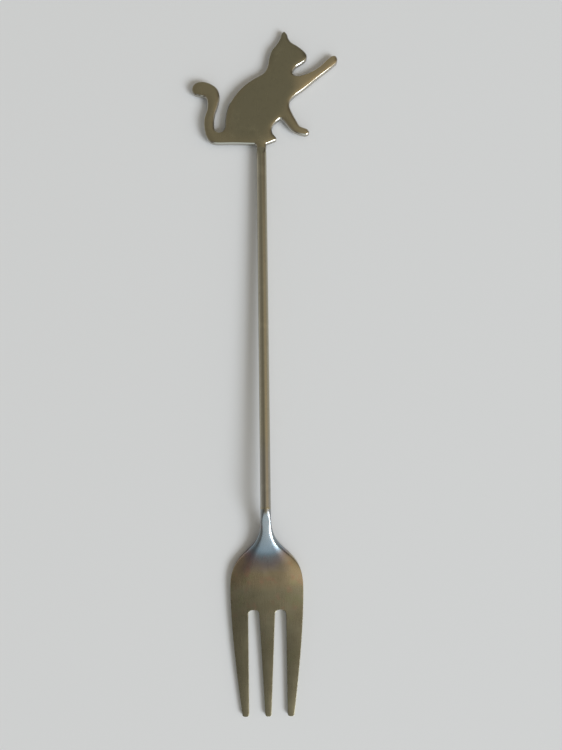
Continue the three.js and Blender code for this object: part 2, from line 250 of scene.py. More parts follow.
def smooth_line(points, steps):
    """Centripetal Catmull-Rom line: each stretch is a cubic Hermite curve whose end slopes come from
    the neighbouring points, weighted by the square roots of the gaps between them."""
    knots = np.asarray(points, float)
    run = np.concatenate([2 * knots[:1] - knots[1:2], knots, 2 * knots[-1:] - knots[-2:-1]])
    gaps = np.sqrt(np.linalg.norm(np.diff(run, axis=0), axis=1))[:, None]
    before, start, end, after = run[:-3], run[1:-2], run[2:-1], run[3:]
    gap_0, gap_1, gap_2 = gaps[:-2], gaps[1:-1], gaps[2:]
    leave = (start - before) / gap_0 - (end - before) / (gap_0 + gap_1) + (end - start) / gap_1
    arrive = (end - start) / gap_1 - (after - start) / (gap_1 + gap_2) + (after - end) / gap_2
    t = np.linspace(0.0, 1.0, steps, endpoint=False)[None, :, None]
    line = (start[:, None] * (2 * t**3 - 3 * t**2 + 1)
            + (leave * gap_1)[:, None] * (t**3 - 2 * t**2 + t)
            + end[:, None] * (3 * t**2 - 2 * t**3)
            + (arrive * gap_1)[:, None] * (t**3 - t**2))
    return np.concatenate([line.reshape(-1, 2), knots[-1:]])


def even_loop(line, spacing):
    """The closed line walked in equal steps of about the spacing."""
    closed = np.concatenate([line, line[:1]])
    travel = np.append(0.0, np.cumsum(np.linalg.norm(np.diff(closed, axis=0), axis=1)))
    marks = np.linspace(0.0, travel[-1], int(round(travel[-1] / spacing)), endpoint=False)
    return np.stack([np.interp(marks, travel, closed[:, k]) for k in range(2)], axis=-1)


def quads(ids):
    """Four-sided faces between neighbouring rows and columns of a grid of vertex numbers."""
    corners = [ids[:-1, :-1], ids[:-1, 1:], ids[1:, 1:], ids[1:, :-1]]
    return np.stack(corners, axis=-1).reshape(-1, 4).tolist()


def on_handle(points, stem):
    """Points (across, along from the neck seam, up from the stem's axis) turned by the handle's lean and
    put in the frame: the axis starts over the neck seam and comes down to the ear tip on the floor."""
    lean = handle_lean(stem)
    across, along, up = np.moveaxis(points, -1, 0)
    place = [
        across + STEM_X,
        along * math.cos(lean) + up * math.sin(lean) + neck_seam(),
        up * math.cos(lean) - along * math.sin(lean) + stem.neck_height,
    ]
    return np.stack(place, axis=-1)


def handle_lean(stem):
    """Angle by which the handle comes down from the neck seam to the ear tip."""
    half = bpy.context.scene.fork_finial.thickness / MM / 2
    return math.asin((stem.neck_height - half) / stem.reach)


def neck_seam():
    """Distance along the frame's Y, in mm, of the seam between neck and stem."""
    return HEAD_LOW[1] + bpy.context.scene.fork_head.length / MM


def add_piece(name, points, faces, shares, material, node):
    """One closed mesh in metres, its shares of wear, its material, and what the frame has to know of it."""
    mesh = bpy.data.meshes.new(name)
    mesh.from_pydata((np.asarray(points) * MM).tolist(), [], faces)
    for share, values in shares.items():
        layer = mesh.attributes.new(share, "FLOAT", "POINT")
        layer.data.foreach_set("value", np.asarray(values, np.float32))
    shell = bmesh.new()
    shell.from_mesh(mesh)
    bmesh.ops.recalc_face_normals(shell, faces=shell.faces)
    shell.to_mesh(mesh)
    shell.free()
    corners = np.zeros(len(mesh.polygons), np.int32)
    mesh.polygons.foreach_get("loop_total", corners)
    most_corners = 4
    mesh.polygons.foreach_set("use_smooth", corners <= most_corners)
    mesh.materials.append(material)
    piece = bpy.data.objects.new(name, mesh)
    bpy.context.scene.collection.objects.link(piece)
    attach(piece, "root")
    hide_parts(node)
    return piece


def cat_loop(sizes, radius):
    """Closed outline of the cat with its stub, walked evenly: the drawn line from the right of the stem
    round to its left, a fillet into the stub, and the stub, which narrows to a round end in the seam."""
    fillet = sizes.stub_fillet
    root = -sizes.stub_root
    waist = root - fillet
    end = -sizes.stub_length
    tongue_share, taper_share, steps = 0.65, 0.7, 24
    tongue = tongue_share * radius
    taper = taper_share * end
    drawn = [(radius, root)] + sum(CAT_OUTLINE.values(), []) + [(-radius - fillet, root)]
    turn = np.linspace(0.0, 1.0, steps)
    line = np.concatenate([
        smooth_line(drawn, steps),
        bezier([(-radius - fillet, root), (-radius, root), (-radius, waist)], turn)[1:],
        bezier([(-radius, waist), (-radius, taper), (-tongue, taper), (-tongue, end)], turn)[1:],
        bezier([(-tongue, end), (-tongue, end - tongue), (tongue, end - tongue), (tongue, end)], turn)[1:],
        bezier([(tongue, end), (tongue, taper), (radius, taper), (radius, waist)], turn)[1:],
    ])
    return even_loop(line, OUTLINE_STEP)


def eased(values, span):
    """Each value on a closed line becomes the least of its neighbours within the span, then their mean."""
    shifts = range(-span, span + 1)
    least = np.min([np.roll(values, k) for k in shifts], axis=0)
    return np.mean([np.roll(least, k) for k in shifts], axis=0)


def reach_inside(points, loop):
    """Smooth distance from the outline: one over the root of half the sum, over the outline's steps, of
    step length divided by distance cubed. Near a straight edge it is the distance itself, and midway
    between two edges it levels off with no crease."""
    step = np.linalg.norm(loop - np.roll(loop, 1, axis=0), axis=1)
    gap = np.linalg.norm(points[:, None] - loop[None], axis=2)
    return (0.5 * np.sum(step / gap**3, axis=1)) ** -0.5


def room_nearby(points, spots, reach):
    """How much room the outline leaves near each point: the mean of the spots' distances from the outline,
    weighted by exp(2 reach) and by a bell of 1.2 mm round the point. It is small on a narrow limb."""
    bias, bell, least = 2.0, 1.2, 1e-12
    gap = np.linalg.norm(points[:, None] - spots[None], axis=2)
    weight = np.exp(bias * reach)[None] * np.exp(-((gap / bell) ** 2))
    return np.sum(weight * reach[None], axis=1) / (np.sum(weight, axis=1) + least)


def inside(points, loop):
    """Whether each point is inside the closed loop, by the winding of the loop's steps round it."""
    ray = loop[None] - points[:, None]
    bearing = np.arctan2(ray[..., 1], ray[..., 0])
    turn = np.diff(bearing, axis=1, append=bearing[:, :1])
    winding = np.sum((turn + math.pi) % (2 * math.pi) - math.pi, axis=1)
    return np.abs(winding) > math.pi


def outline_turn(loop):
    """Outward direction at each point of the closed loop, and how sharply the loop bends there: the change
    of heading from two steps before the point to two steps after it, divided by their length."""
    stride = 2
    along = np.roll(loop, -1, axis=0) - np.roll(loop, 1, axis=0)
    heading = np.arctan2(along[:, 1], along[:, 0])
    out = np.stack([np.sin(heading), -np.cos(heading)], axis=-1)
    swing = np.roll(heading, -stride) - np.roll(heading, stride)
    swing = (swing + math.pi) % (2 * math.pi) - math.pi
    return out, swing / (2.0 * stride * OUTLINE_STEP)


def inner_spots(loop):
    """Points of an even grid that lie well inside the closed loop."""
    spacing, clear = 0.4, 0.75
    across = np.arange(-16.0, 18.0, spacing)
    up = np.arange(-3.0, 27.0, spacing)
    spots = np.stack(np.meshgrid(across, up), -1).reshape(-1, 2)
    spots = spots[inside(spots, loop)]
    return spots[reach_inside(spots, loop) > clear]


def leg_wear(plan, limb):
    """Share of wear at the points: on the limbs, from 0.3 up to 1 towards the paws at the right, and none
    round the middle of the head."""
    x, y = plan.T
    least, leg_start, leg_end = 0.3, 5.0, 11.0
    head_x, head_y, head_round, head_clear = 6.5, 21.5, 4.2, 6.0
    to_paws = least + (1.0 - least) * smoothstep(x, leg_start, leg_end)
    return limb * to_paws * smoothstep(np.hypot(x - head_x, y - head_y), head_round, head_clear)


def cat_plate(sizes, radius):
    """Closed plate on the cat's outline, as points (across, along from the base, up), faces, rim share and
    share of wear. The rim is a chamfer with softened corners, a quarter of |x/a|^p + |z/b|^p = 1 with p a
    little over 1, carried along the outline, above and below. It is as wide as the rim width, or narrower in
    a tight bend. The faces inside it are crowned: they fall towards the outline by the crown, on a limb by
    the limb crown, times exp(-reach / crown reach)."""
    loop = cat_loop(sizes, radius)
    out, bend = outline_turn(loop)
    bend_share, straight, ease_steps = 0.55, 1e-6, 6
    width = np.minimum(sizes.rim_width, bend_share / np.maximum(bend, straight))
    width = eased(width, ease_steps)

    half = sizes.thickness / 2
    border = loop - width[:, None] * out
    spots = inner_spots(loop)
    plan = np.concatenate([border, spots])
    count = len(border)
    ring = np.arange(count)
    edges = np.stack([ring, np.roll(ring, -1)], axis=-1)
    inside_only, merge_gap = 1, 1e-6
    found = delaunay_2d_cdt(plan.tolist(), edges.tolist(), [], inside_only, merge_gap)
    plan_out, triangles = found[0], found[2]
    if len(plan_out) != len(plan):
        raise RuntimeError("the cat's border crosses itself")
    spot_reach = reach_inside(spots, loop)
    reach = np.concatenate([width, spot_reach])
    narrow, broad = 1.1, 2.3
    limb = 1.0 - smoothstep(room_nearby(plan, spots, spot_reach), narrow, broad)
    crown = sizes.crown + (sizes.limb_crown - sizes.crown) * limb
    level = half - crown * np.exp(-reach / sizes.crown_reach)

    rim_rows, softness = 12, 1.7
    phi = np.linspace(0.0, math.pi / 2, rim_rows + 1)[1:, None]
    inset = width * (1.0 - np.sin(phi) ** softness)
    fall = sizes.rim_depth / sizes.rim_width * width * (1.0 - np.abs(np.cos(phi)) ** softness)
    ring_plan = loop[None] - inset[..., None] * out[None]
    ring_level = half - crown[:count] * np.exp(-inset / sizes.crown_reach) - fall
    top = np.concatenate([plan, level[:, None]], axis=1)
    rings = np.concatenate([ring_plan, ring_level[..., None]], axis=2)
    flip = np.array([1.0, 1.0, -1.0])
    points = np.concatenate([top, rings.reshape(-1, 3), (rings * flip)[::-1].reshape(-1, 3), top * flip])

    total = len(plan)
    rows = 2 * len(phi)
    ids = np.concatenate([ring[None], total + np.arange(rows * count).reshape(rows, count),
                          (total + rows * count + ring)[None]])
    ids = np.concatenate([ids, ids[:, :1]], axis=1)
    under = (np.asarray(triangles)[:, ::-1] + total + rows * count).tolist()
    faces = [list(face) for face in triangles] + quads(ids) + under
    border_rim, rim_fade = 0.4, 0.35
    face_rim = np.exp(-(reach - width.min()) / rim_fade) * border_rim
    ring_rim = np.broadcast_to(border_rim + (1.0 - border_rim) * np.sqrt(np.sin(phi)), inset.shape)
    rim = np.concatenate([face_rim, ring_rim.ravel(), ring_rim[::-1].ravel(), face_rim])
    worn = leg_wear(plan, limb)
    worn = np.concatenate([worn, np.tile(worn[:count], rows), worn])
    return points, faces, rim, worn


def turned(stations, half_width, half_height, power):
    """Closed bar along the handle: at each station a section |x/a|^p + |z/b|^p = 1, and flat ends."""
    bearing = np.linspace(0.0, 2.0 * math.pi, AROUND, endpoint=False)[None, :]
    cos, sin = np.cos(bearing), np.sin(bearing)
    half_width, half_height, power = (np.broadcast_to(v, stations.shape)[:, None]
                                      for v in (half_width, half_height, power))
    size = (np.abs(cos) ** power + np.abs(sin) ** power) ** (-1.0 / power)
    along = np.broadcast_to(stations[:, None], size.shape)
    points = np.stack([half_width * size * cos, along, half_height * size * sin], axis=-1)
    ids = np.arange(points.shape[0] * AROUND).reshape(-1, AROUND)
    faces = quads(np.concatenate([ids, ids[:, :1]], axis=1)) + [ids[0].tolist(), ids[-1].tolist()]
    return points.reshape(-1, 3), faces


class HeadShape:
    """The head as a plan (across, distance from the neck seam) with a height over each point of it."""

    curve_steps = 400
    palm_rows = 70
    root_rows = 10
    tine_rows = 44
    tip_rows = 8
    rim_rows = 9
    tine_cells = 12
    slot_cells = 16

    # Stretches of the head, in mm from the neck seam, over which its section changes
    bar_fills = (0.0, 2.5)
    face_comes_down = (-0.5, 2.2)
    bar_flattens = (2.4, 7.0)
    crown_comes = (2.0, 6.0)
    crown_goes = (8.0, 12.0)
    rim_narrows = (5.0, 15.0)

    # Distances in mm from the heel, from the start of the slots and from the tips
    crest_lead = 1.0
    arch_lead = 2.0
    arch_goes = (-2.0, 7.0)
    tine_crown_lead = 5.0
    root_lead = 2.0
    tip_lead = 1.0

    # Form of the section
    bar_fullness = 0.3
    face_rise = 0.65
    cut_power = 3.6
    corner_power = 0.72
    edge_fall = 0.5
    roll_share = 0.42
    least_bar = 0.01
    least_half = 0.012

    # Polish of the edge, and of the face beside it as a share of that
    edge_polish = 0.5
    face_polish = 0.3

    def __init__(self, sizes, stem):
        for name, millimetres in vars(sizes).items():
            setattr(self, name, millimetres)
        self.neck_radius = stem.diameter / 2
        self.half_palm = self.thickness / 2
        self.half_tip = self.tip_thickness / 2
        self.slot_round = self.slot_width / 2
        self.slot_middle = self.middle_tine / 2 + self.slot_round
        self.slot_start = self.length - self.slot_length + self.slot_round
        self.tip_round = self.tip_width / 2
        self.tip_half_span = self.tip_span / 2
        share = np.linspace(0.0, 1.0, self.curve_steps)
        self.outline = self.outline_curve(share)
        self.middle = self.middle_line(stem, share)

    def outline_curve(self, share):
        """Half width by distance: the neck, a cubic flare to the shoulders, and a parabola to the tips."""
        radius, wide = self.neck_radius, self.width / 2
        neck, shoulder = self.neck_length, self.shoulder_length
        flare = bezier([(neck, radius), (neck + self.neck_flare, radius),
                        (shoulder - self.shoulder_round, wide), (shoulder, wide)], share)
        sides = bezier([(shoulder, wide), (shoulder + self.side_round, wide),
                        (self.length, self.tip_half_span)], share)
        return np.concatenate([[(0.0, radius)], flare, sides[1:]])

    def middle_line(self, stem, share):
        """Height of the plate's middle by distance: a bend from the stem's direction into an even slope, and
        a bend at the heel from the slope into the level palm, both of them parabolas."""
        height = stem.neck_height
        brow = np.array([self.neck_bend, height + self.neck_bend * math.tan(handle_lean(stem))])
        foot = np.array([self.heel, self.half_palm])
        slope = (foot - brow) / np.linalg.norm(foot - brow)
        level = np.array([self.heel_bend, 0.0])
        return np.concatenate([
            bezier([(0.0, height), brow, brow + self.neck_bend * slope], share),
            bezier([foot - self.heel_bend * slope, foot, foot + level], share),
            [(self.length, self.half_palm)],
        ])

    def half_width(self, d):
        """Half width at a distance from the seam: straight neck, flare to the shoulders, taper to tips."""
        return np.interp(d, self.outline[:, 0], self.outline[:, 1])

    def rim(self, d):
        """How far the rounded edge reaches inwards: the neck rim, easing into the rim width at the palm."""
        return self.neck_rim + (self.rim_width - self.neck_rim) * smoothstep(d, *self.rim_narrows)

    def half_thickness(self, d):
        """Half the palm, falling evenly beyond the shoulders to half the tips' thickness."""
        taper = np.clip((d - self.shoulder_length) / (self.length - self.shoulder_length), 0.0, 1.0)
        return self.half_palm + (self.half_tip - self.half_palm) * taper

    def plan(self, share):
        """Palm and three tines as grids of (across, distance), each edge drawn in by share of the rim.
        Palm rows cross the full width, and the last rows bend round the two slot roots. A tine's rows
        run between its two sides, and the last ones bend round its tip."""
        start = self.slot_start
        inset = share * self.rim_width
        middle, turn_radius = self.slot_middle, self.slot_round + inset
        edge = self.half_width(start) - inset
        bar = np.linspace(0.0, 1.0, self.tine_cells, endpoint=False)
        full_bar = np.append(bar, 1.0)
        turn = np.linspace(math.pi, 0.0, self.slot_cells, endpoint=False)
        turn_x, turn_y = self.squared(np.cos(turn)), self.squared(np.sin(turn))
        across = np.concatenate([
            -edge + (edge - middle - turn_radius) * bar,
            -middle + turn_radius * turn_x,
            (middle - turn_radius) * (2.0 * bar - 1.0),
            middle + turn_radius * turn_x,
            middle + turn_radius + (edge - middle - turn_radius) * full_bar,
        ])
        arch = turn_radius * turn_y
        brink = np.stack([across, start - np.concatenate([0 * bar, arch, 0 * bar, arch, 0 * full_bar])], -1)
        palm_end = start - self.slot_round - self.root_lead
        d = np.append(0.0, np.linspace(COLLAR, palm_end, self.palm_rows))[:, None]
        straight = across / edge * (self.half_width(d) - share * self.rim(d))
        straight = np.stack(np.broadcast_arrays(straight, d), -1)
        bend = np.linspace(0.0, 1.0, self.root_rows + 1)[1:, None, None]
        palm = np.concatenate([straight, (1.0 - bend) * straight[-1] + bend * brink])

        tip_start = self.length - self.tip_round
        inner_tip = self.tip_half_span - 2.0 * self.tip_round
        lines = [
            (lambda d: inset - self.half_width(d), self.side(-middle - self.slot_round, -inner_tip, -inset)),
            (self.side(-middle + self.slot_round, -self.tip_round, inset),
             self.side(middle - self.slot_round, self.tip_round, -inset)),
            (self.side(middle + self.slot_round, inner_tip, inset), lambda d: self.half_width(d) - inset),
        ]
        d = np.linspace(start, tip_start - self.tip_lead, self.tine_rows)[:, None]
        round_tip = (2.0 * full_bar - 1.0) * math.pi / 2
        bend = np.linspace(0.0, 1.0, self.tip_rows + 1)[1:, None, None]
        tines = []
        for left, right in lines:
            rows = np.stack(np.broadcast_arrays(left(d) + (right(d) - left(d)) * full_bar, d), -1)
            half = (right(tip_start) - left(tip_start)) / 2
            centre = (right(tip_start) + left(tip_start)) / 2
            arc = np.stack([centre + half * self.squared(np.sin(round_tip)),
                            tip_start + (self.tip_round - inset) * self.squared(np.cos(round_tip))], -1)
            tines.append(np.concatenate([rows, (1.0 - bend) * rows[-1] + bend * arc]))
        return palm, tines

    def squared(self, ratio):
        """A sine or cosine drawn out towards 1, which turns a half circle into one with squarer corners."""
        return np.sign(ratio) * np.abs(ratio) ** self.corner_power

    def side(self, root, tip, inset):
        """Straight side of a tine from its root to the start of its tip, shifted by the inset."""
        tip_start = self.length - self.tip_round
        return lambda d: root + (tip - root) * (d - self.slot_start) / (tip_start - self.slot_start) + inset

    def border(self, palm, tines):
        """The edge of the grids in order: down the left, round each tine and slot, up the right side."""
        left, middle, right = tines
        first, second = self.tine_cells, self.tine_cells + self.slot_cells
        slot_1 = palm[-1, first + 1:second]
        slot_2 = palm[-1, first + second + 1:2 * second]
        return np.concatenate([
            palm[:, 0], left[1:, 0], left[-1, 1:-1], left[::-1, -1], slot_1,
            middle[:, 0], middle[-1, 1:-1], middle[::-1, -1], slot_2,
            right[:, 0], right[-1, 1:-1], right[:0:-1, -1], palm[::-1, -1],
        ])

    def sag(self, palm, tines):
        """How far the faces fall on the tines: the tine crown times the square of the place between a
        tine's middle, 0, and its sides, 1, coming in over the first 5 mm of the tine."""
        place = np.linspace(-1.0, 1.0, self.tine_cells + 1)
        full = self.slot_start + self.tine_crown_lead
        falls = [self.tine_crown * place**2 * smoothstep(t[..., 1], self.slot_start, full) for t in tines]
        return 0.0 * palm[..., 0], falls

    def place(self, plan, phi, sag, side):
        """Points over the plan. The section goes from a circle at the seam, which grows a little fuller and
        whose top and bottom are cut flat with softened corners, to a plate with rounded edges. phi is 0 on
        the face of that plate and a right angle at its edge. The section stands square to the bent middle
        line. The slope of the neck is crowned across by a parabola, the shoulders roll down by another that
        starts outside the middle of the width, and the palm is arched across by a third."""
        x, d = plan[..., 0], plan[..., 1]
        share = np.clip(x / self.half_width(d), -1.0, 1.0)
        half = self.half_thickness(d)
        plate = half - sag - self.edge_fall * self.rim(d) * (1.0 - np.cos(phi))
        power = CIRCLE_POWER + self.bar_fullness * smoothstep(d, *self.bar_fills)
        bar = self.neck_radius * (1.0 - np.abs(share) ** power) ** (1.0 / power)
        bar = np.maximum(bar, self.least_bar)
        face = self.half_palm + self.face_rise * (1.0 - smoothstep(d, *self.face_comes_down))
        cut = (bar**-self.cut_power + face**-self.cut_power) ** (-1.0 / self.cut_power)
        flat = smoothstep(d, *self.bar_flattens)
        offset = side * np.maximum(cut + (plate - cut) * flat, self.least_half)
        lift = np.interp(d, self.middle[:, 0], self.middle[:, 1])
        slope = np.interp(d, self.middle[:, 0], np.gradient(self.middle[:, 1], self.middle[:, 0]))
        beyond = d > self.shoulder_length
        lift = np.where(beyond, half, lift)
        slope = np.where(beyond, 0.0, slope)
        norm = np.sqrt(1.0 + slope**2)
        rise = np.maximum(lift - half, 0.0)
        crest_fall = self.heel + self.crest_lead
        crest = self.shoulder_drop * hump(d, (self.roll_start, self.heel), (crest_fall, self.palm_full))
        side_share = np.clip((np.abs(share) - self.roll_share) / (1.0 - self.roll_share), 0.0, None)
        rolled = 1.0 - side_share**2 - rise / (rise + self.shoulder_drop)
        arch = self.palm_arch * smoothstep(d, self.heel + self.arch_lead, self.palm_full)
        arch = arch * (1.0 - smoothstep(d - self.slot_start, *self.arch_goes))
        crown = self.neck_crown * hump(d, self.crown_comes, self.crown_goes)
        y = neck_seam() - d + offset * slope / norm
        z = lift + offset / norm + crest * rolled + arch * (1.0 - share**2) - crown * share**2
        return np.stack([x + STEM_X, y, z], axis=-1)

    @staticmethod
    def turned_rows(values, count):
        """The values of the rows in turned order, with each row kept as it is."""
        return values.reshape(-1, count)[::-1].ravel()

    @staticmethod
    def gathered(palm, tines):
        """The values of the grids in one list, with each tine's first row left to the palm."""
        rest = [tine[1:].reshape(-1, *tine.shape[2:]) for tine in tines]
        return np.concatenate([palm.reshape(-1, *palm.shape[2:]), *rest])

    def build(self):
        """Points, faces and rim share of the closed head: both faces, the rim, and the neck's end."""
        palm, tines = self.plan(1.0)
        sags = self.sag(palm, tines)
        sheet = self.gathered(palm, tines)
        sheet_sag = self.gathered(*sags)
        edge_sag = self.border(*sags)
        palm_ids = np.arange(palm.shape[0] * palm.shape[1]).reshape(palm.shape[:2])
        tine_ids = []
        first = palm_ids.size
        for k, tine in enumerate(tines):
            column = k * (self.tine_cells + self.slot_cells)
            count = (tine.shape[0] - 1) * tine.shape[1]
            rest = first + np.arange(count).reshape(-1, tine.shape[1])
            tine_ids.append(np.concatenate([palm_ids[-1:, column:column + self.tine_cells + 1], rest]))
            first += count
        edge_ids = self.border(palm_ids, tine_ids)
        phi = np.linspace(0.0, math.pi / 2, self.rim_rows + 1)[1:]
        edges = [(self.border(*self.plan(1.0 - math.sin(a))), a) for a in phi]
        over = [self.place(edge, a, edge_sag, 1.0) for edge, a in edges]
        under = [self.place(edge, a, edge_sag, -1.0) for edge, a in edges][::-1]
        points = np.concatenate([self.place(sheet, 0.0, sheet_sag, 1.0), *over, *under,
                                 self.place(sheet, 0.0, sheet_sag, -1.0)])
        count = len(edge_ids)
        rows = 2 * len(phi)
        base = len(sheet) + rows * count
        ids = np.concatenate([edge_ids[None], len(sheet) + np.arange(rows * count).reshape(rows, count),
                              base + edge_ids[None]])
        faces = quads(ids)
        for grid in [palm_ids, *tine_ids]:
            faces += quads(grid) + quads(base + grid[:, ::-1])
        end = np.concatenate([palm_ids[0], ids[1:-1, -1], base + palm_ids[0, ::-1], ids[-2:0:-1, 0]])
        faces.append(end.tolist())
        polish = self.edge_polish * self.rim(sheet[edge_ids, 1]) / self.neck_rim
        growth = self.face_polish + (1.0 - self.face_polish) * np.sin(phi)
        ring = (growth[:, None] * polish).ravel()
        flat = np.zeros(len(sheet))
        flat[edge_ids] = self.face_polish * polish
        return points, faces, np.concatenate([flat, ring, self.turned_rows(ring, count), flat])


def two_sided(operation):
    """The methods of an operator on two values, straight and reflected, that add one Math node."""
    def straight(self, other):
        return self.math(operation, self, other)

    def reflected(self, other):
        return self.math(operation, other, self)
    return straight, reflected


class Wire:
    """An output socket of a node sheet. Arithmetic on it adds Math nodes."""

    __add__, __radd__ = two_sided("ADD")
    __sub__, __rsub__ = two_sided("SUBTRACT")
    __mul__, __rmul__ = two_sided("MULTIPLY")
    __pow__, __rpow__ = two_sided("POWER")

    def __init__(self, sheet, socket):
        self.sheet = sheet
        self.socket = socket

    def math(self, operation, *values):
        """One Math node with the values, or links, in its sockets."""
        return self.sheet.node("ShaderNodeMath", {"operation": operation}, dict(enumerate(values)))

    def __neg__(self):
        return self.math("MULTIPLY", self, -1.0)

    def __abs__(self):
        return self.math("ABSOLUTE", self)


class Sheet:
    """A node tree that is written as expressions."""

    def __init__(self, tree):
        self.tree = tree
        tree.nodes.clear()

    def node(self, kind, settings=None, sockets=None, output=0):
        """A node of a kind: its settings first, a ramp's stops among them, then its sockets' values or
        links. A socket is named by its identifier, its name or its number. Returns the output, or a list
        where several are named."""
        made = self.tree.nodes.new(kind)
        settings = dict(settings or {})
        stops = settings.pop("stops", None)
        for key, value in settings.items():
            setattr(made, key, value)
        if stops:
            ramp = made.color_ramp
            while len(ramp.elements) < len(stops):
                ramp.elements.new(1.0)
            for element, (position, shade) in zip(ramp.elements, stops):
                element.position = position
                element.color = (*shade, 1.0)
        for key, value in (sockets or {}).items():
            socket = self.pick(made.inputs, key)
            if isinstance(value, Wire):
                self.tree.links.new(value.socket, socket)
            else:
                socket.default_value = value
        if isinstance(output, tuple):
            return [Wire(self, self.pick(made.outputs, key)) for key in output]
        return Wire(self, self.pick(made.outputs, output)) if made.outputs else None

    @staticmethod
    def pick(sockets, key):
        """The socket with that number, identifier or name."""
        if isinstance(key, int):
            return sockets[key]
        named = [s for s in sockets if s.identifier == key]
        return named[0] if named else sockets[key]

    def mix(self, factor, first, second, blend="MIX"):
        """Two colours, each a link or red, green and blue, mixed by a factor."""
        shades = [v if isinstance(v, Wire) else (*v, 1.0) for v in (first, second)]
        return self.node("ShaderNodeMix", {"data_type": "RGBA", "blend_type": blend},
                         {"Factor_Float": factor, "A_Color": shades[0], "B_Color": shades[1]},
                         "Result_Color")

    def noise(self, vector, scale, detail=2.0, roughness=0.5):
        """Noise between 0 and 1, about one half."""
        return self.node("ShaderNodeTexNoise", {},
                         {"Vector": vector, "Scale": scale, "Detail": detail, "Roughness": roughness}, "Fac")

    def stretched(self, vector, scale):
        """Coordinates scaled on each axis, and so a pattern drawn out along the axis of the least scale."""
        return self.node("ShaderNodeMapping", {"vector_type": "POINT"}, {"Vector": vector, "Scale": scale})

    def span(self, value, low, high):
        """0 below low and 1 above high, with a smooth step between them."""
        return self.node("ShaderNodeMapRange", {"interpolation_type": "SMOOTHSTEP"},
                         {"Value": value, "From Min": low, "From Max": high})


def satin_steel(name, shade, finish, roughness, tint=None):
    """Satin steel: fine grain drawn along the fork, cloudy polish, hairline scratches and a brighter rim."""
    grain_scale, hair_scale = (9000.0, 240.0, 9000.0), (5200.0, 90.0, 5200.0)
    cloud_scale, haze_scale = 240.0, 900.0
    clouded, hazed, scratched, polished = (0.55, 0.75), (0.5, 0.72), (0.68, 0.74), (0.3, 1.0)
    brighter, duller = (1.22, 1.22, 1.22), (0.78, 0.78, 0.78)
    cloud_shade, haze_shade, rim_shade = 0.5, 0.3, 0.8
    middle, cloud_rough, grain_rough, hair_rough, rim_gloss = 0.5, 0.14, 0.1, 0.05, 0.08
    hair_height, haze_height = -0.3, 0.5
    material = bpy.data.materials.new(name)
    material.use_nodes = True
    sheet = Sheet(material.node_tree)
    place = sheet.node("ShaderNodeTexCoord", output="Object")
    grain = sheet.noise(sheet.stretched(place, grain_scale), 1.0, detail=3.0, roughness=0.6)
    cloud = sheet.noise(place, cloud_scale, detail=4.0, roughness=0.55)
    haze = sheet.noise(place, haze_scale, detail=3.0, roughness=0.6)
    hairs = sheet.noise(sheet.stretched(place, hair_scale), 1.0, detail=1.0)
    hairs = sheet.span(hairs, *scratched)
    rim = sheet.node("ShaderNodeAttribute", {"attribute_name": "rim"}, output="Fac")
    base = tint(sheet, place, shade) if tint else shade
    base = sheet.mix(sheet.span(cloud, *clouded) * cloud_shade, base, brighter, "MULTIPLY")
    base = sheet.mix(sheet.span(1.0 - haze, *hazed) * haze_shade, base, duller, "MULTIPLY")
    worn = sheet.node("ShaderNodeAttribute", {"attribute_name": "worn"}, output="Fac")
    base = sheet.mix(worn, base, finish.worn)
    base = sheet.mix(sheet.span(rim, *polished) * rim_shade, base, finish.polished)
    rough = roughness + (cloud - middle) * cloud_rough + (grain - middle) * grain_rough
    rough = rough + hairs * hair_rough - rim * rim_gloss
    relief = grain + hairs * hair_height + haze * haze_height
    bump = sheet.node("ShaderNodeBump", {}, {"Strength": 1.0, "Distance": finish.grain_depth,
                                             "Height": relief}, "Normal")
    shader = sheet.node("ShaderNodeBsdfPrincipled", {},
                        {"Base Color": base, "Metallic": 1.0, "Roughness": rough, "Normal": bump}, "BSDF")
    sheet.node("ShaderNodeOutputMaterial", {}, {"Surface": shader})
    return material


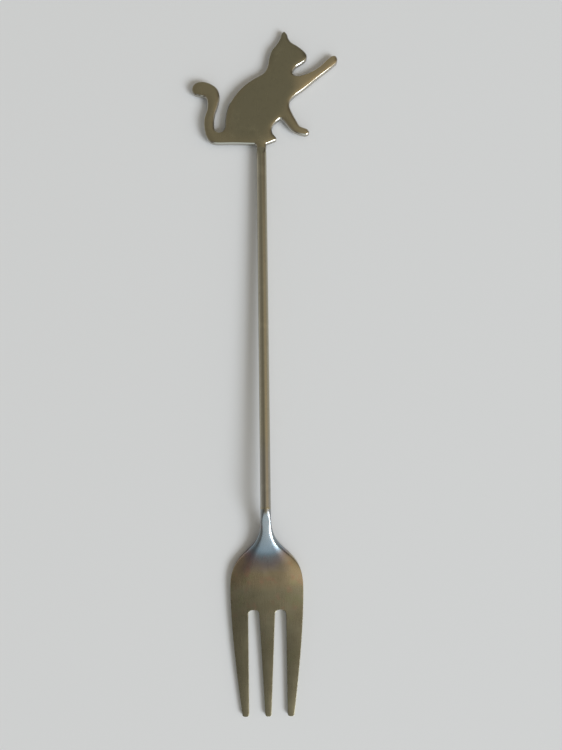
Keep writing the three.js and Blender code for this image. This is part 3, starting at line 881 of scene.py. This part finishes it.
def heat_tint_and_painted_light(finish):
    """A tint for the head: rings round the neck seam, blue, purple and straw, that fade into plain steel and
    are narrower across the neck than along it. Their blue is partly heat tint and partly a painted
    reflection of the cool sky on the slope of the neck. Reddish and greenish mottling, a painted shade on
    the left shoulder and tarnish from the palm on lie over them. Lengths are in mm."""
    wander_scale, red_scale, green_scale, mottled = 420.0, 520.0, 380.0, (0.52, 0.7)
    neck_squeeze, palm_squeeze, squeeze_eases = 3.5, 0.7, (9.5, 13.5)
    ring_reach, ring_wander = 20.0, 1.4
    red, red_share, red_fades = (1.15, 0.93, 0.97), 0.75, (20.0, 34.0)
    green, green_share, green_comes = (0.93, 1.03, 0.9), 0.6, (9.0, 14.0)
    # Painted shade on the left shoulder, dark and purplish: its colour, place and fade in mm, and unevenness
    shoulder_shade, shoulder_shade_x, shoulder_shade_d, shoulder_shade_fades, shoulder_shade_wander = (0.82, 0.76, 0.86), -4.6, 11.0, (0.6, 3.4), 2.0
    tarnish_comes, tarnish_goes, tarnish_share, tarnish_shade = (20.0, 27.0), (33.0, 43.0), 0.6, 0.6
    tarnish_slant, tarnish_wander = 0.5, 5.0

    def tint(sheet, place, shade):
        across, along = sheet.node("ShaderNodeSeparateXYZ", {}, {"Vector": place}, ("X", "Y"))
        x = (across - STEM_X * MM) * (1.0 / MM)
        d = (neck_seam() * MM - along) * (1.0 / MM)
        wander = sheet.noise(place, wander_scale, detail=3.0) - 0.5
        squeeze = neck_squeeze - sheet.span(d, *squeeze_eases) * (neck_squeeze - palm_squeeze)
        ring = (d * d + x * x * squeeze) ** 0.5 + wander * ring_wander
        # The blue stops near the seam are partly a painted reflection of the cool sky on the slope of the
        # neck
        stops = [(0.0, shade), (0.05, finish.neck_blue_and_sky), (0.22, finish.neck_blue_and_sky), (0.48, finish.neck_deep_blue_and_sky),
                 (0.575, finish.neck_purple), (0.685, finish.neck_straw), (0.79, finish.neck_straw),
                 (0.88, shade)]
        ring = ring * (1.0 / ring_reach)
        rings = sheet.node("ShaderNodeValToRGB", {"stops": stops}, {"Fac": ring}, "Color")
        redder = sheet.span(sheet.noise(place, red_scale, detail=3.0), *mottled)
        redder = redder * (1.0 - sheet.span(d, *red_fades))
        rings = sheet.mix(redder * red_share, rings, red, "MULTIPLY")
        greener = sheet.span(1.0 - sheet.noise(place, green_scale, detail=3.0), *mottled)
        greener = greener * sheet.span(d, *green_comes)
        rings = sheet.mix(greener * green_share, rings, green, "MULTIPLY")
        # Painted shade: the left shoulder, which turns away from the light, is made darker and purplish
        off_x, off_d = x - shoulder_shade_x, d - shoulder_shade_d
        off = (off_x * off_x + off_d * off_d) ** 0.5 + wander * shoulder_shade_wander
        rings = sheet.mix(1.0 - sheet.span(off, *shoulder_shade_fades), rings, shoulder_shade, "MULTIPLY")
        outwards = d + abs(x) * tarnish_slant + wander * tarnish_wander
        tarnish = sheet.span(outwards, *tarnish_comes) * (1.0 - sheet.span(d, *tarnish_goes))
        return sheet.mix(tarnish * tarnish_share, rings, [tarnish_shade * c for c in shade])
    return tint


def stem_tint(finish):
    """A tint for the stem, which heat has greyed: most within 10 mm of the neck seam, none beyond 17 mm."""
    grey_fades = (10.0, 17.0)

    def tint(sheet, place, shade):
        along = sheet.node("ShaderNodeSeparateXYZ", {}, {"Vector": place}, "Y")
        distance = (along - neck_seam() * MM) * (1.0 / MM)
        return sheet.mix(sheet.span(distance, *grey_fades), finish.stem_grey, shade)
    return tint


class FORK_OT_stage(bpy.types.Operator):
    """Make the pale floor, the soft light and the camera"""

    bl_idname = "fork.stage"
    bl_label = "Stage"

    def execute(self, context):
        look = context.scene.fork_stage
        self.floor(look)
        self.light(context, look)
        self.camera(context, look)
        context.scene.view_settings.view_transform = "Standard"
        return {"FINISHED"}

    def floor(self, look):
        """A wide level floor just under the fork."""
        half, level = look.floor_half, -look.floor_drop
        mesh = bpy.data.meshes.new("floor")
        mesh.from_pydata([(-half, -half, level), (half, -half, level), (half, half, level),
                          (-half, half, level)], [], [(0, 1, 2, 3)])
        material = bpy.data.materials.new("pale_floor")
        material.use_nodes = True
        sheet = Sheet(material.node_tree)
        shader = sheet.node("ShaderNodeBsdfPrincipled", {},
                            {"Base Color": (*look.floor, 1.0), "Roughness": 0.9,
                             "Specular IOR Level": 0.0}, "BSDF")
        sheet.node("ShaderNodeOutputMaterial", {}, {"Surface": shader})
        mesh.materials.append(material)
        floor = bpy.data.objects.new("floor", mesh)
        bpy.context.scene.collection.objects.link(floor)

    def light(self, context, look):
        """A dim dome, cool at the tine end and warm at the right, and one large window light."""
        world = bpy.data.worlds.new("soft_dome")
        world.use_nodes = True
        sheet = Sheet(world.node_tree)
        heading = sheet.node("ShaderNodeTexCoord", output="Generated")
        x, y, z = sheet.node("ShaderNodeSeparateXYZ", {}, {"Vector": heading}, ("X", "Y", "Z"))
        dimming, cat_share = 0.75, 0.3

        # Each part of the dome is marked off by the components, from -1 to 1, of the direction to it
        tine_side = sheet.span(-y, 0.0, 0.2)
        to_right = sheet.span(x, -0.1, 0.45) * sheet.span(-y, -0.75, 0.35)
        to_left = sheet.span(-y, -0.1, 0.1) * (1.0 - cat_share) + cat_share
        to_left = sheet.span(-x, 0.0, 0.3) * to_left
        far_right = sheet.span(x, 0.15, 0.5) * sheet.span(y, 0.32, 0.46)
        low_left = sheet.span(-x, 0.5, 0.9)
        ahead = sheet.span(x, -0.44, -0.22) * (1.0 - sheet.span(x, 0.2, 0.45)) * sheet.span(-y, 0.3, 0.7)
        right = sheet.mix(sheet.span(z, 0.2, 0.5), look.low_right, look.right)
        dome = sheet.mix(tine_side, look.overhead, [dimming * c for c in look.overhead])
        parts = [(to_right, right), (to_left, look.left), (far_right, look.left), (low_left, look.low_left),
                 (ahead, look.front)]
        for part, shade in parts:
            dome = sheet.mix(part, dome, shade)
        shader = sheet.node("ShaderNodeBackground", {}, {"Color": dome, "Strength": 1.0})
        sheet.node("ShaderNodeOutputWorld", {}, {"Surface": shader})
        context.scene.world = world
        lamp = bpy.data.lights.new("window", "AREA")
        lamp.shape = "SQUARE"
        lamp.size = look.key_size
        lamp.energy = look.key_power
        lamp.color = look.key_colour
        window = bpy.data.objects.new("window", lamp)
        towards = Vector(look.key_towards).normalized()
        window.location = towards * look.key_distance
        window.rotation_euler = towards.to_track_quat("Z", "Y").to_euler()
        context.scene.collection.objects.link(window)

    def camera(self, context, look):
        """A camera over the stem that looks almost straight down, with the photograph's frame."""
        data = bpy.data.cameras.new("camera")
        data.sensor_width = 36.0
        data.lens = look.focal_share * data.sensor_width
        data.clip_start = 0.01
        camera = bpy.data.objects.new("camera", data)
        turn = Matrix.Rotation(look.camera_roll, 4, "Z") @ Matrix.Rotation(look.camera_tilt, 4, "X")
        camera.matrix_world = Matrix.Translation(look.camera_place) @ turn
        context.scene.collection.objects.link(camera)
        context.scene.camera = camera


class FORK_OT_finial(bpy.types.Operator):
    """Make the cat plate with its stub"""

    bl_idname = "fork.finial"
    bl_label = "Cat finial"

    def execute(self, context):
        scene = context.scene
        stem = in_mm(scene.fork_stem)
        points, faces, rim, worn = cat_plate(in_mm(scene.fork_finial), stem.diameter / 2)
        points = points + np.array([0.0, stem.finial_base, 0.0])
        finish = scene.fork_steel
        steel = satin_steel("finial_satin", finish.steel, finish, finish.roughness)
        add_piece("cat_plate", on_handle(points, stem), faces, {"rim": rim, "worn": worn}, steel,
                  "cat_finial")
        return {"FINISHED"}


class FORK_OT_stem(bpy.types.Operator):
    """Make the round stem"""

    bl_idname = "fork.stem"
    bl_label = "Stem"

    def execute(self, context):
        scene = context.scene
        stem = in_mm(scene.fork_stem)
        radius, rows = stem.diameter / 2, 60
        between = np.linspace(stem.start + COLLAR, stem.end - COLLAR, rows)
        stations = np.concatenate([[stem.start], between, [stem.end]])
        points, faces = turned(stations, radius, radius, CIRCLE_POWER)
        finish = scene.fork_steel
        steel = satin_steel("stem_satin", finish.stem, finish, finish.stem_roughness, stem_tint(finish))
        add_piece("round_stem", on_handle(points, stem), faces, {}, steel, "stem_rod")
        return {"FINISHED"}


class FORK_OT_seams(bpy.types.Operator):
    """Make the two brazed seams at the ends of the stem"""

    bl_idname = "fork.seams"
    bl_label = "Seams"

    def execute(self, context):
        scene = context.scene
        stem = in_mm(scene.fork_stem)
        radius, rows = stem.diameter / 2, 25
        half = scene.fork_finial.thickness / MM / 2
        finish = scene.fork_steel
        steel = satin_steel("filler_satin", finish.filler, finish, finish.stem_roughness)
        share = np.linspace(0.0, 1.0, rows)
        swell = stem.seam_proud * (2.0 * np.sin(math.pi * share) - 1.0)
        neck_start, neck_length = -0.02, 0.5
        along = neck_start + neck_length * share
        points, faces = turned(along, radius + swell, radius + swell, CIRCLE_POWER)
        add_piece("neck_seam", on_handle(points, stem), faces, {}, steel, "head_braze")
        blend_start, narrowing, squareness = 0.2, 0.1, 2.3
        blend = smoothstep(share, blend_start, 1.0)
        wide = radius - narrowing * blend
        low = radius + (half - stem.seam_sink - radius) * blend
        along = stem.end - stem.seam_lap + stem.seam_length * share
        points, faces = turned(along, wide + swell, low + swell, CIRCLE_POWER + squareness * blend)
        add_piece("finial_seam", on_handle(points, stem), faces, {}, steel, "finial_braze")
        return {"FINISHED"}


class FORK_OT_head(bpy.types.Operator):
    """Make the head with its neck, palm and three tines"""

    bl_idname = "fork.head"
    bl_label = "Head"

    def execute(self, context):
        scene = context.scene
        points, faces, rim = HeadShape(in_mm(scene.fork_head), in_mm(scene.fork_stem)).build()
        finish = scene.fork_steel
        steel = satin_steel("head_satin", finish.steel, finish, finish.head_roughness, heat_tint_and_painted_light(finish))
        add_piece("tined_head", points, faces, {"rim": rim}, steel, "fork_head")
        return {"FINISHED"}


class FORK_PT_sidebar(bpy.types.Panel):
    """Sizes, colours and pieces of the fork"""

    bl_label = "Appetizer fork"
    bl_idname = "FORK_PT_sidebar"
    bl_space_type = "VIEW_3D"
    bl_region_type = "UI"
    bl_category = "Fork"

    def draw(self, context):
        for group in GROUPS:
            box = self.layout.box()
            settings = getattr(context.scene, group)
            for name in settings.__annotations__:
                box.prop(settings, name)
        for operator in OPERATORS:
            self.layout.operator(operator.bl_idname)


GROUPS = {
    "fork_finial": FinialSizes,
    "fork_stem": StemSizes,
    "fork_head": HeadSizes,
    "fork_steel": SteelFinish,
    "fork_stage": StageLook,
}
OPERATORS = (FORK_OT_stage, FORK_OT_finial, FORK_OT_stem, FORK_OT_seams, FORK_OT_head)


def register():
    """Registers the settings, the operators and the panel."""
    for name, group in GROUPS.items():
        bpy.utils.register_class(group)
        setattr(bpy.types.Scene, name, PointerProperty(type=group))
    for operator in OPERATORS:
        bpy.utils.register_class(operator)
    bpy.utils.register_class(FORK_PT_sidebar)


def unregister():
    """Takes out what register put in."""
    bpy.utils.unregister_class(FORK_PT_sidebar)
    for operator in reversed(OPERATORS):
        bpy.utils.unregister_class(operator)
    for name, group in reversed(GROUPS.items()):
        delattr(bpy.types.Scene, name)
        bpy.utils.unregister_class(group)


def main():
    """Registers the settings and operators, then makes the stage and the pieces."""
    register()
    bpy.ops.fork.stage()
    bpy.ops.fork.finial()
    bpy.ops.fork.stem()
    bpy.ops.fork.seams()
    bpy.ops.fork.head()


if __name__ == "__main__":
    main()
